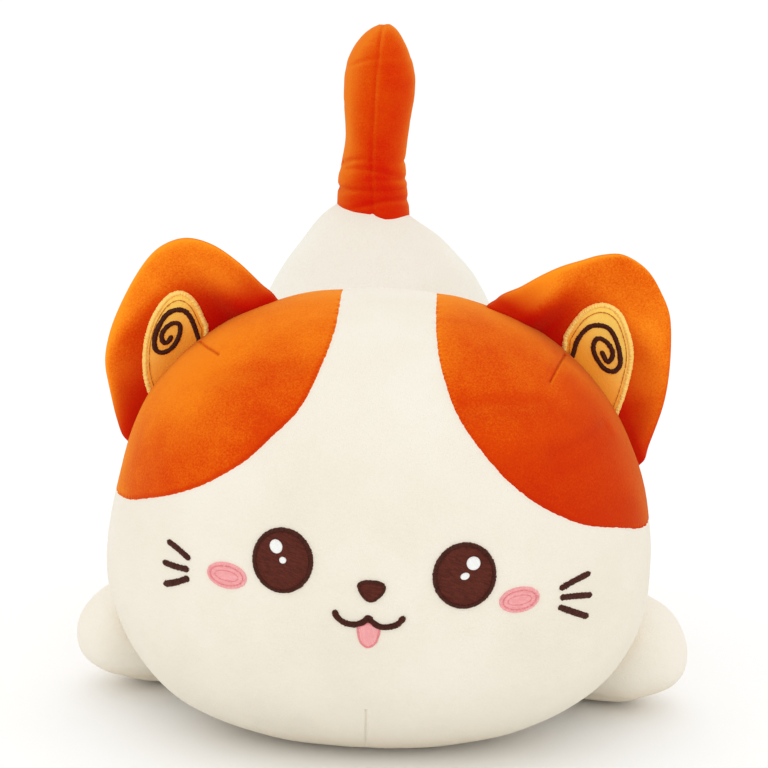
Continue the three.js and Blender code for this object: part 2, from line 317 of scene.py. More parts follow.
def plush(name, deep, middle, light, painted_shade_colour, sheen, sheen_tint, lit_from, lift=0.0, shade_reach=35 * MM,
          depth=1.6, patchy=1.5, grainy=0.5):
    """Short-pile fabric with brushed patches and fibre grain, and painted light: lighter on faces turned
    towards the given direction, as if lit from there.

    It takes the shade colour as painted shade where ambient occlusion finds shade within the given reach,
    and where the mesh is marked with painted shade."""
    material, tree, shader = new_material(name)
    link = tree.links.new
    where = stored(tree, "rest", "Vector")
    brushed = noise(tree, where, 14, 4, 0.6)
    grain = noise(tree, where, 1050, 2, 0.7)
    # Painted light: faces turned towards the given direction take lighter colours, as if lit from that side.
    painted_light = put(tree, "VectorMath", operation="DOT_PRODUCT")
    link(put(tree, "NewGeometry").outputs["Normal"], painted_light.inputs[0])
    painted_light.inputs[1].default_value = lit_from
    uneven = maths(tree, "MULTIPLY_ADD", grain, grainy, maths(tree, "MULTIPLY", brushed, patchy))
    level = lift + 0.45 - 0.5 * (patchy + grainy)
    tone = maths(tree, "ADD", maths(tree, "ADD", painted_light.outputs["Value"], level), uneven)
    shade = ramp(tree, tone, [(0.15, deep), (0.5, middle), (0.95, light)])
    # Painted shade: the shade colour where ambient occlusion finds shade nearby and where the mesh is marked
    # with painted shade.
    hidden = put(tree, "AmbientOcclusion", samples=6)
    hidden.inputs["Distance"].default_value = shade_reach
    painted_shade = stored(tree, "painted_shade")
    open_air = maths(tree, "MULTIPLY", maths(tree, "POWER", hidden.outputs["AO"], depth),
                     maths(tree, "SUBTRACT", 1.0, painted_shade))
    mix = put(tree, "Mix", data_type="RGBA")
    link(open_air, mix.inputs["Factor"])
    mix.inputs["A"].default_value = (*painted_shade_colour, 1)
    link(shade, mix.inputs["B"])
    link(mix.outputs["Result"], shader.inputs["Base Color"])
    fibres = put(tree, "TexVoronoi", scale=1100.0)
    link(where, fibres.inputs["Vector"])
    tufts = noise(tree, where, 260, 3, 0.6)
    height = maths(tree, "MULTIPLY_ADD", tufts, 0.9, fibres.outputs["Distance"])
    bump = put(tree, "Bump", strength=0.45, distance=PILE)
    link(height, bump.inputs["Height"])
    link(bump.outputs["Normal"], shader.inputs["Normal"])
    link(maths(tree, "MULTIPLY_ADD", brushed, 0.12, PLUSH_ROUGH - 0.1), shader.inputs["Roughness"])
    shader.inputs["Sheen Weight"].default_value = sheen
    shader.inputs["Sheen Roughness"].default_value = 0.4
    shader.inputs["Sheen Tint"].default_value = (*sheen_tint, 1)
    shader.inputs["Specular IOR Level"].default_value = 0.06
    return material


def thread(name, dark, light, rough=0.5, run=4.2 * MM, bumpy=0.7):
    """Embroidery: rows of stitches across `along`, each broken every `run` and with its own shade."""
    material, tree, shader = new_material(name)
    link = tree.links.new
    along = stored(tree, "along")
    across = stored(tree, "across")
    row = maths(tree, "DIVIDE", along, STITCH)
    number = maths(tree, "FLOOR", row)
    shift = put(tree, "TexWhiteNoise", noise_dimensions="1D")
    link(number, shift.inputs["W"])
    place = maths(tree, "ADD", maths(tree, "DIVIDE", across, run), shift.outputs["Value"])
    stitch = maths(tree, "MULTIPLY_ADD", maths(tree, "FLOOR", place), 17.3, number)
    shade = put(tree, "TexWhiteNoise", noise_dimensions="1D")
    link(stitch, shade.inputs["W"])
    twist = noise(tree, stored(tree, "rest", "Vector"), 1400, 2, 0.6)
    tone = maths(tree, "MULTIPLY_ADD", twist, 0.6, maths(tree, "MULTIPLY", shade.outputs["Value"], 0.3))
    link(ramp(tree, tone, [(0.1, dark), (0.95, light)]), shader.inputs["Base Color"])
    ridge = maths(tree, "PINGPONG", row, 0.5)
    end = maths(tree, "MINIMUM", maths(tree, "PINGPONG", place, 0.5), 0.1)
    height = maths(tree, "ADD", maths(tree, "MULTIPLY_ADD", end, 3.0, ridge),
                   maths(tree, "MULTIPLY", twist, 0.3))
    bump = put(tree, "Bump", strength=bumpy, distance=THREAD_ROW_DEPTH)
    link(height, bump.inputs["Height"])
    link(bump.outputs["Normal"], shader.inputs["Normal"])
    link(maths(tree, "MULTIPLY_ADD", twist, 0.2, rough - 0.1), shader.inputs["Roughness"])
    shader.inputs["Specular IOR Level"].default_value = 0.16
    return material


def srgb(r, g, b):
    """A colour from 0-255 display values."""
    return tuple((v / 255 / 12.92) if v <= 10 else ((v / 255 + 0.055) / 1.055) ** 2.4 for v in (r, g, b))


def cream(name, *colours):
    shades = [srgb(*colour) for colour in colours]
    return plush(name, *shades, 0.08, (1, 0.98, 0.93), (-0.05, -0.05, 0.2), 0.1, 20 * MM)


# Painted light and shade in each fabric: lighter on faces turned to its own direction, and its fourth colour
# is painted shade.
CREAM = cream("cream_velboa", (227, 220, 204), (232, 225, 209), (236, 230, 217), (231, 220, 200))
BODY_CREAM = cream("body_velboa", (230, 227, 213), (234, 231, 218), (238, 236, 225), (232, 226, 208))
PAW_CREAM = cream("paw_velboa", (232, 224, 208), (236, 229, 214), (239, 233, 221), (234, 222, 200))
ORANGE = plush("orange_velboa", srgb(196, 42, 0), srgb(212, 66, 0), srgb(238, 124, 14), srgb(190, 20, 0),
               0.35, (1, 0.62, 0.1), (-0.32, 0.14, 0.55), -0.09, patchy=0.9, grainy=0.65)
EAR_ORANGE = plush("ear_velboa", srgb(204, 46, 0), srgb(224, 88, 2), srgb(254, 150, 30), srgb(192, 0, 0),
                   0.25, (1, 0.6, 0.12), (-0.3, 0.1, 0.6), 0.4, 40 * MM, 2.0, patchy=0.9, grainy=0.65)
# The tail's painted light makes its sides lighter than its front, like a sheen at the edges.
RUST = plush("tail_velboa", srgb(208, 30, 0), srgb(216, 70, 0), srgb(230, 116, 22), srgb(204, 6, 0),
             0.3, (1, 0.55, 0.1), (-0.25, 0.9, 0.2), 0.85, patchy=1.1, grainy=0.5)
YELLOW = plush("yellow_velboa", srgb(255, 192, 20), srgb(255, 214, 62), srgb(255, 232, 124),
               srgb(250, 146, 0), 0.03, (1, 0.8, 0.3), (0, -0.1, 0.3), 0.36, 22 * MM, 0.9, patchy=0.6)
BROWN = thread("brown_thread", srgb(50, 18, 10), srgb(88, 38, 24))
PINK = thread("pink_thread", srgb(234, 146, 148), srgb(255, 192, 192))
WHITE = thread("white_thread", srgb(236, 236, 232), srgb(252, 252, 250))
GOLD = thread("gold_thread", srgb(250, 208, 100), srgb(255, 230, 140), bumpy=0.2)
EYE_BROWN = thread("brown_fill_thread", srgb(60, 18, 8), srgb(112, 48, 32), 0.6, 2.6 * MM)
STITCH_BROWN = thread("brown_fine_thread", srgb(170, 96, 40), srgb(214, 140, 70))
PINK_DARK = thread("pink_rim_thread", srgb(222, 124, 128), srgb(242, 160, 162))


# ---------------------------------------------------------------- head

HEAD_HALF = np.array([148, 104, 124]) * MM
HEAD_POWER = 2.27
CROWN_SEAM = HEAD_CENTRE[1] + 24 * MM
# Patch edges in the front view, from the head's centre; the two sides differ a little, as sewn.
EDGES = {
    "right": [(-20, 150), (-23.5, 119), (-25.7, 111), (-29.5, 101), (-40, 80), (-55, 64), (-69, 50.6),
              (-88, 37.6), (-107, 28.3), (-122.4, 22.5), (-138.6, 15.9), (-175, 4)],
    "left": [(27.5, 150), (27.9, 120), (28.9, 111), (30.8, 102.7), (36.6, 87.3), (43.7, 74.6), (51.8, 64.1),
             (66.7, 47.8), (84.3, 33.7), (106.9, 21.4), (129.6, 14.1), (145.2, 7.2), (178, -3)],
}
EDGES = {side: dense(np.array(line) * MM, 1.5 * MM) for side, line in EDGES.items()}


TAPER, TAPER_CURVE = 0.115, 0.04


def head_taper(t):
    """The head's width at height t, from -1 at the chin to 1 at the crown."""
    return 1 - TAPER * t + TAPER_CURVE * t * t


def head_ball(directions):
    """The head's plain shape, from the head's centre."""
    reach = (np.abs(directions / HEAD_HALF) ** HEAD_POWER).sum(1) ** (-1 / HEAD_POWER)
    p = directions * reach[:, None]
    p[:, 0] *= head_taper(p[:, 2] / HEAD_HALF[2])
    return p


def head_normal(p):
    t = p[:, 2] / HEAD_HALF[2]
    taper = head_taper(t)
    x = p[:, 0] / taper
    level = np.abs(np.stack([x, p[:, 1], p[:, 2]], 1) / HEAD_HALF)
    grad = HEAD_POWER * np.sign(p) * level ** (HEAD_POWER - 1) / HEAD_HALF
    slope = (2 * TAPER_CURVE * t - TAPER) / HEAD_HALF[2]
    grad[:, 2] -= grad[:, 0] * x * slope / taper
    grad[:, 0] /= taper
    return unit(grad)


def room_left(x, z):
    """Above 0 inside the head's outline in the front view."""
    t = z / HEAD_HALF[2]
    return 1 - np.abs(x / head_taper(t) / HEAD_HALF[0]) ** HEAD_POWER - np.abs(t) ** HEAD_POWER


def head_front(x, z):
    """The point on the front of the head at (x, z) in the front view, from the head's centre."""
    ahead = HEAD_HALF[1] * np.maximum(room_left(x, z), 1e-4) ** (1 / HEAD_POWER)
    return np.stack([x, -ahead, z], 1)


def on_head(points_xz):
    """Dense 3D line on the head's front from front-view points in mm."""
    line = dense(np.array(points_xz, float) * MM, MM)
    return head_front(line[:, 0], line[:, 1])


def edge_on_head(line, back):
    """A patch edge laid on the front or the back of the head."""
    inside = room_left(line[:, 0], line[:, 1]) > 0
    kept = head_front(line[inside, 0], line[inside, 1])
    kept[:, 1] *= -1 if back else 1
    return kept


SEAMS = [edge_on_head(line, back) for line in EDGES.values() for back in (False, True)]
# Each dart and crease: its line, its depth and its width in mm.
DARTS = [
    (dense(np.array([(-100, 6, 93.4), (-98.6, -1.2, 94.3), (-96.4, -11.2, 95.6), (-93.4, -21.9, 96.2),
                     (-89.4, -31.3, 96.3), (-85.5, -39, 95.9)]) * MM, MM), 1.2, 4.5),
    (dense(np.array([(99, 4, 94), (96.9, -13.2, 95), (94.2, -26.9, 94.3), (91.4, -38.4, 92),
                     (89.3, -45.7, 89.6)]) * MM, MM), 1.3, 4.5),
    (on_head([(-1.4, -81.7), (-1.3, -93.2), (-1.4, -105.3), (-1.0, -118)]), 1.3, 6.0),
]
CREASES = [
    (on_head([(92, 56.5), (102.4, 58.4), (111.7, 61), (119.7, 63)]), 0.9, 5.0),
    (on_head([(44, 82.5), (62.4, 83.2), (82.8, 82.2)]), 0.5, 4.5),
    (on_head([(-86.6, 86.6), (-67.3, 92.3), (-43.8, 97.6)]), 0.4, 4.5),
    (on_head([(36, 66), (50, 61), (64, 60)]), 0.4, 5.0),
]
# The painted shade of a crease lies a little below it.
PAINTED_SHADE_SHIFT = np.array([1.5, 0, -4.5]) * MM
SEAM_WIDTH, SEAM_PUCKER, DART_WIDTH, CROWN_SEAM_WIDTH = 1.5 * MM, 7 * MM, 0.55 * MM, 1.6 * MM


def head_dent(p):
    """How far the sewn head stands in from its plain shape at each point."""
    dent = -0.8 * MM * waves(p, 0.11, 3) - 0.25 * MM * waves(p, 0.035, 5)
    side = np.clip((-p[:, 0] / MM - 95) / 50, 0, 1) * np.clip(1 - (p[:, 2] / MM - 20) / 60, 0.2, 1)
    dent = dent + 4.2 * MM * smooth_step(side)
    for line in SEAMS:
        d = distance_to(p, line)
        dent = dent + 0.7 * MM * bell(d, SEAM_WIDTH) + 0.5 * MM * bell(d, SEAM_PUCKER)
    for line, depth, width in DARTS:
        d = distance_to(p, line)
        dent = dent + depth * MM * (bell(d, DART_WIDTH) + 0.35 * bell(d, width * MM))
    for line, depth, width in CREASES:
        d = distance_to(p, line)
        dent = dent + depth * MM * bell(d, width * MM)
    d = np.abs(p[:, 1] + HEAD_CENTRE[1] - CROWN_SEAM)
    return dent + 0.8 * MM * bell(d, CROWN_SEAM_WIDTH)


def refined(directions, faces, passes):
    """Splits the ball's faces near seams, darts and creases, once for each reach in mm."""
    bm = bmesh.new()
    corners = [bm.verts.new(d) for d in directions.tolist()]
    for face in faces.tolist():
        bm.faces.new([corners[i] for i in face])
    features = np.vstack([*SEAMS, *(line for line, _, _ in DARTS + CREASES)])
    for reach in passes:
        bm.edges.ensure_lookup_table()
        bm.verts.index_update()
        ends = np.array([[e.verts[0].index, e.verts[1].index] for e in bm.edges])
        where = np.array([v.co for v in bm.verts])
        middle = head_ball(unit(where[ends].mean(1)))
        near = distance_to(middle, features) < reach * MM
        near |= np.abs(middle[:, 1] + HEAD_CENTRE[1] - CROWN_SEAM) < reach * MM
        chosen = [bm.edges[i] for i in np.flatnonzero(near)]
        bmesh.ops.subdivide_edges(bm, edges=chosen, cuts=1, use_grid_fill=True)
        bmesh.ops.triangulate(bm, faces=[f for f in bm.faces if len(f.verts) > 3])
    bm.verts.index_update()
    made = np.array([v.co for v in bm.verts])
    triangles = np.array([[v.index for v in f.verts] for f in bm.faces])
    bm.free()
    return unit(made), triangles


def settle(z, soft=5 * MM):
    """Flattens what would go through the table, with a soft edge."""
    return 0.5 * (z + np.sqrt(z * z + soft * soft)) - 0.5 * soft * np.exp(-np.abs(z) / 0.03)


def grounded(p):
    """Rests the points on the table, a hair above it."""
    p[:, 2] = np.maximum(settle(p[:, 2]), 0.3 * MM)
    return p


def sewn_head(p, lift=0.0):
    """Final place of points of the plain head, `lift` above the fabric."""
    return grounded(p + head_normal(p) * (lift - head_dent(p))[:, None] + HEAD_CENTRE)


def crease_shade(p):
    """How much painted shade a point of the sewn head takes just below the creases."""
    p = p - HEAD_CENTRE - PAINTED_SHADE_SHIFT
    return sum(0.5 * depth * bell(distance_to(p, line), 7 * MM) for line, depth, _ in CREASES)


def make_head():
    directions, faces = refined(*unit_ball(7), ((8, 4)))
    plain = head_ball(directions)

    def panel(name, points, faces_, material, slot, *nodes):
        placed, faces_ = skirted(sewn_head(points), faces_, head_normal(points), 3 * MM)
        thing = build(name, placed, faces_, material)
        # Painted shade just below the head's creases.
        paint_shade(thing, crease_shade)
        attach(thing, "head")
        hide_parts(*nodes)

    def halves(points, faces_):
        ahead = CROWN_SEAM - HEAD_CENTRE[1] - points[:, 1]
        return clip(points, faces_, ahead), clip(points, faces_, -ahead)

    def inside_patch(p, side):
        """Above 0 on the side's orange patch; the edge is as uneven as cut pile."""
        fuzz = 0.15 * MM * waves(p, 3.5 * MM, 11)
        return side_of(p[:, 0], p[:, 2], EDGES[side]) * SIDES[side] + fuzz

    rest = (plain, faces)
    for side in SIDES:
        front, back = halves(*clip(plain, faces, inside_patch(plain, side)))
        panel(f"crown_front_skin_{side}", *front, ORANGE, "orange_plush", f"crown_front_{side}")
        panel(f"crown_back_skin_{side}", *back, ORANGE, "orange_plush", f"crown_back_{side}")
        rest = clip(*rest, -inside_patch(rest[0], side))
    front, back = halves(*rest)
    panel("face_skin", *front, CREAM, "cream_plush", "face_panel", "head_stuffing")
    panel("head_back_skin", *back, CREAM, "cream_plush", "head_back_panel")


make_head()


# ---------------------------------------------------------------- embroidery

def evenly(line, step):
    """The line at even steps, and how far along it each point is."""
    gaps = np.linalg.norm(np.diff(line, axis=0), axis=1)
    along = np.concatenate([[0], np.cumsum(gaps)])
    at = np.linspace(0, along[-1], max(3, int(along[-1] / step) + 1))
    return np.stack([np.interp(at, along, line[:, i]) for i in range(line.shape[1])], 1), at


def smooth_line(points, closed):
    points = np.array(points, float) * MM
    if closed:
        wrapped = np.vstack([points[-2:], points, points[:3]])
        line = dense(wrapped, 0.5 * MM)
        away, half = np.linalg.norm(line - points[0], axis=1), len(line) // 2
        first, last = away[:half].argmin(), half + away[half:].argmin()
        return line[first:last + 1]
    return dense(points, 0.5 * MM)


def grid_faces(rows, columns, wrap_rows=False, wrap_columns=False):
    faces = []
    for i in range(rows - (not wrap_rows)):
        for j in range(columns - (not wrap_columns)):
            a, b = i * columns + j, i * columns + (j + 1) % columns
            c, d = ((i + 1) % rows) * columns + (j + 1) % columns, ((i + 1) % rows) * columns + j
            faces += [[a, b, c], [a, c, d]]
    return np.array(faces)


def rings(rows, columns):
    """Faces of a middle point with rings of points round it."""
    fan = np.array([[0, 1 + j, 1 + (j + 1) % columns] for j in range(columns)])
    return np.vstack([fan, grid_faces(rows, columns, wrap_columns=True)[:, ::-1] + 1])


def facing(points, faces, way):
    """The faces, turned over if they look away from `way` on the whole."""
    a, b, c = corners_of(points, faces)
    return faces if (np.cross(b - a, c - a).sum(0) @ np.array(way)) > 0 else faces[:, ::-1]


def facing_out(points, faces, centre, axes=slice(None)):
    """The faces, turned over if they look in towards `centre` on the whole, seen along `axes`."""
    a, b, c = corners_of(points, faces)
    outward = np.cross(b - a, c - a)[:, axes] * ((a + b + c) / 3 - centre)[:, axes]
    return faces if outward.sum() >= 0 else faces[:, ::-1]


def seeded(name):
    """Random numbers that depend on a piece's name only."""
    return np.random.default_rng(sum(ord(c) * (i + 1) for i, c in enumerate(name)))


def satin(name, points, width, place, material, height=0.9 * MM, closed=False):
    """A line of satin stitches through front-view points; place(x, z, lift) lays it on the cloth."""
    line, at = evenly(smooth_line(points, closed), STITCH / 2)
    if closed:
        line, at = line[:-1], at[:-1]
        tangent = np.roll(line, -1, 0) - np.roll(line, 1, 0)
        taper = np.ones(len(line))
    else:
        tangent = np.gradient(line, axis=0)
        end = np.minimum(at, at[-1] - at) / (width * MM / 2)
        taper = np.sqrt(1 - (1 - np.clip(end, 0.08, 1)) ** 2)
    tangent = unit(tangent)
    turn = seeded(name)
    stitch = np.arange(len(line)) // 2
    wide = (1 + 0.07 * turn.normal(size=len(line))[stitch]) * taper * width * MM / 2
    tall = (1 + 0.1 * turn.normal(size=len(line))[stitch]) * np.sqrt(taper)
    across = np.linspace(-1, 1, 11)
    side = np.stack([-tangent[:, 1], tangent[:, 0]], 1)
    flat = line[:, None] + side[:, None] * (across[None, :] * wide[:, None])[..., None]
    lift = height * (np.sqrt(1 - 0.97 * across ** 2)[None] * tall[:, None] * 1.15 - 0.25)
    placed = place(flat[..., 0].ravel(), flat[..., 1].ravel(), lift.ravel())
    faces = facing(placed, grid_faces(len(line), len(across), wrap_rows=closed), (0, -1, 0))
    run = np.repeat(at, len(across))
    return build(name, placed, faces, material, along=run, across=(across[None] * wide[:, None]).ravel())


def filled(name, points, place, material, height=0.8 * MM, angle=60):
    """An area filled with rows of stitches at an angle to the level."""
    line, _ = evenly(smooth_line(points, True), 0.9 * MM)
    line = line[:-1]
    middle = line.mean(0)
    s = np.sin(np.linspace(0, math.pi / 2, 16)[1:]) ** 0.9
    flat = np.vstack([middle[None], (middle + (line - middle)[None] * s[:, None, None]).reshape(-1, 2)])
    drop = height * np.sqrt(1 - 0.999 * s ** 8) - 0.3 * MM * s ** 12
    lift = np.concatenate([[height], np.repeat(drop, len(line))])
    placed = place(flat[:, 0], flat[:, 1], lift)
    faces = facing(placed, rings(len(s), len(line)), (0, -1, 0))
    turn = math.radians(angle)
    along = flat[:, 0] * math.cos(turn) + flat[:, 1] * math.sin(turn)
    across = flat[:, 1] * math.cos(turn) - flat[:, 0] * math.sin(turn)
    return build(name, placed, faces, material, along=along, across=across)


def on_cloth(thing, slot, *nodes):
    """Finishes a piece of embroidery on the face."""
    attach(thing, "head")
    if nodes:
        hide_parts(*nodes)


def on_face(x, z, lift):
    return sewn_head(head_front(x, z), lift)


def oval(at, half, tilt=0, count=16):
    t = np.linspace(0, 2 * math.pi, count, endpoint=False)
    turn = math.radians(tilt)
    u, v = half[0] * np.cos(t), half[1] * np.sin(t)
    return np.stack([at[0] + u * math.cos(turn) - v * math.sin(turn),
                     at[1] + u * math.sin(turn) + v * math.cos(turn)], 1)


EYES = {"right": (-45.9, 3.4), "left": (47.1, -1.1)}
EYE_HALF = {"right": (15.6, 17.3), "left": (16.2, 17.6)}
GLINTS = {
    "right": {"large": ((-49.2, 10.9), (3.3, 3.8)), "small": ((-45.6, 4.0), (1.9, 1.9))},
    "left": {"large": ((51.3, 5.7), (3.6, 3.7)), "small": ((47.2, -1.0), (2.5, 1.9))},
}
CHEEKS = {"right": (-74.5, -7.6), "left": (75.7, -14.8)}
CHEEK_HALF = (10.3, 6.8)
WHISKERS = {
    "right": [[(-107.4, 4.7), (-101.2, 1.9), (-94.2, -2.4)], [(-110, -7.2), (-102.7, -7.8), (-94.6, -7.9)],
              [(-109.2, -19.1), (-102.1, -16.3), (-94.4, -12.2)]],
    "left": [[(112.4, -4.8), (104.4, -7.6), (96.4, -11.2)], [(113.8, -17.0), (105.4, -16.1), (96.8, -15.8)],
             [(112.4, -28.8), (104.7, -24.9), (96.2, -20.6)]],
}
MOUTH_LINE = [(-18.8, -21.2), (-17.4, -25.0), (-13.2, -28.2), (-7.9, -28.9), (-3.6, -27.2), (-1.3, -24.9),
              (0.9, -27.3), (4.6, -29.5), (8.8, -29.7), (13.9, -27.9), (17.4, -23.4)]
NOSE_EDGE = [(-7.5, -7.6), (-6.0, -5.4), (-2.9, -4.7), (0.2, -4.6), (3.6, -5.0), (6.4, -6.2), (7.4, -8.4),
             (5.6, -12), (2.6, -15.1), (-0.1, -16.3), (-3.0, -15.2), (-5.9, -11.7)]
TONGUE_EDGE = [(-6.9, -29.5), (-6.7, -34.5), (-5.2, -39.4), (-2.4, -42.2), (0.4, -42.2), (3.2, -39.6),
               (4.8, -35), (5.2, -30), (2, -28), (-1, -27), (-4, -28)]


def shrunk(half, inset):
    return [h - inset for h in half]


def scaled(points, factor):
    middle = np.mean(points, 0)
    return middle + (np.array(points) - middle) * factor


def above_eye(x, z, lift):
    return on_face(x, z, lift + 0.8 * MM)


def make_face():
    for side in SIDES:
        at, half = EYES[side], EYE_HALF[side]
        on_cloth(filled(f"eye_fill_{side}", oval(at, half), on_face, EYE_BROWN, 0.9 * MM, 70),
                 "brown_thread", f"eye_{side}")
        on_cloth(satin(f"eye_ring_{side}", oval(at, shrunk(half, 1.2)), 2.7, on_face, BROWN, 1.5 * MM, True),
                 "brown_thread")
        for size, (at, half) in GLINTS[side].items():
            on_cloth(filled(f"glint_{size}_{side}", oval(at, half, 20, 9), above_eye, WHITE, 0.8 * MM, 30),
                     "white_thread", f"eye_glint_{size}_{side}")
        at, tilt = CHEEKS[side], 7 * SIDES[side]
        on_cloth(filled(f"cheek_fill_{side}", oval(at, CHEEK_HALF, tilt), on_face, PINK, 0.7 * MM, 80),
                 "pink_thread", f"cheek_{side}")
        for name, inset, width, thread_used, high in (("ring", 0.8, 1.9, PINK, 1.1),
                                                      ("stitch_1", 1.9, 0.7, PINK_DARK, 1.05),
                                                      ("stitch_2", 4.2, 0.7, PINK_DARK, 1.05)):
            ring = oval(at, shrunk(CHEEK_HALF, inset), tilt)
            on_cloth(satin(f"cheek_{name}_{side}", ring, width, on_face, thread_used, high * MM, True),
                     "pink_thread")
        for i, line in enumerate(WHISKERS[side]):
            on_cloth(satin(f"whisker_thread_{i + 1}_{side}", line, 3.5, on_face, BROWN, 1.1 * MM),
                     "brown_thread", f"whisker_{i + 1}_{side}")
    on_cloth(filled("nose_fill", NOSE_EDGE, on_face, EYE_BROWN, 1.3 * MM, 90), "brown_thread", "nose")
    on_cloth(satin("nose_ring", scaled(NOSE_EDGE, 0.84), 2.4, on_face, BROWN, 1.6 * MM, True), "brown_thread")
    on_cloth(filled("tongue_fill", TONGUE_EDGE, on_face, PINK, 0.7 * MM, 15), "pink_thread", "tongue")
    on_cloth(satin("tongue_ring", scaled(TONGUE_EDGE, 0.86), 1.7, on_face, PINK_DARK, 1.0 * MM, True),
             "pink_thread")
    on_cloth(satin("mouth_thread", MOUTH_LINE, 3.4, on_face, BROWN, 1.7 * MM), "brown_thread", "mouth")


make_face()


# ---------------------------------------------------------------- ears

EAR_PLANE = -76 * MM
VIEW_SLOPE = 0.287
EAR_OUTLINES = {
    "right": [(-138.9, 31.8), (-144.6, 43), (-149.7, 62.6), (-151.8, 75.4), (-150.5, 87.8), (-146.3, 101.9),
              (-137.8, 120), (-128.2, 134.2), (-118.5, 141.8), (-106.6, 144.9), (-93, 141.6), (-79.2, 132.7),
              (-67, 121.5), (-58.7, 114.1)],
    "left": [(142.9, 29.5), (146.7, 39.9), (153.7, 62.7), (156, 85.3), (154.7, 110.3), (148.7, 125),
             (140, 136.9), (127.2, 144.1), (115.3, 143.7), (104.7, 140.5), (94, 136.8), (83.5, 131.5),
             (72.9, 125), (60.2, 117.9)],
}
# Folds in the ear's face, mm: height, place along and out from the root, and reach both ways.
EAR_FOLDS = [(-4.5, 29, 10, 7, 20), (5.0, 43, 16, 8, 18), (-4.0, -38, 12, 9, 13), (2.5, -4, 46, 26, 9)]
LINING_EDGES = {
    "right": [(-96.2, 95.9), (-98, 102), (-103.6, 113.9), (-110.7, 118.6), (-118.7, 114.5), (-126.2, 102),
              (-130.3, 86.3), (-130.4, 70.7), (-127.2, 58.5), (-122, 48), (-110, 58), (-98, 78)],
    "left": [(97.7, 96.5), (99.6, 103.2), (107.1, 115.1), (117.1, 120.4), (126.4, 116.4), (132.4, 104.4),
             (135.3, 90.7), (133.9, 76.2), (129.8, 60.4), (124, 50), (112, 60), (99, 80)],
}
SWIRLS = {
    "right": [(-99.5, 86), (-101.6, 92.4), (-103.3, 97.9), (-105.6, 103.4), (-108.9, 107.1), (-113.8, 107.5),
              (-118.1, 105.1), (-121.3, 100.6), (-123.9, 94.9), (-125.2, 88.8), (-124.3, 83.8), (-121, 82.2),
              (-116.7, 84.1), (-113.5, 88.1), (-111.4, 93.7), (-111.5, 98.7), (-114.7, 99.7), (-118.5, 97.3),
              (-121.2, 92.8), (-120.5, 88.4), (-117.8, 88.5), (-115.7, 92.4)],
    "left": [(101.5, 84), (103.4, 90.6), (104.7, 96.8), (107.7, 102.4), (111.8, 106.4), (116.6, 107.4),
             (121.5, 106.2), (125, 101.9), (127.5, 95.9), (128.8, 90.4), (129.1, 84.9), (126.1, 80.9),
             (121.1, 81.8), (116.5, 87.2), (114.1, 93.2), (114.9, 98.3), (117.6, 99.5), (121.4, 97.4),
             (124.4, 93.1), (124.6, 88.6), (122, 86.3), (118.5, 92.3)],
}


def outside_head(points):
    """About how far points are outside the plain head."""
    p = points - HEAD_CENTRE
    t = np.clip(p[:, 2] / HEAD_HALF[2], -1.2, 1.2)
    x = p[:, 0] / head_taper(t)
    reach = (np.abs(np.stack([x, p[:, 1], p[:, 2]], 1) / HEAD_HALF) ** HEAD_POWER).sum(1) ** (1 / HEAD_POWER)
    return (1 - 1 / reach) * np.linalg.norm(p, axis=1)


def painted_shade_near_head(points):
    """How much painted shade a point of the ear takes where the ear meets the head."""
    return 0.85 * np.exp(-(np.maximum(outside_head(points) - 3 * MM, 0) / (12 * MM)) ** 1.5)


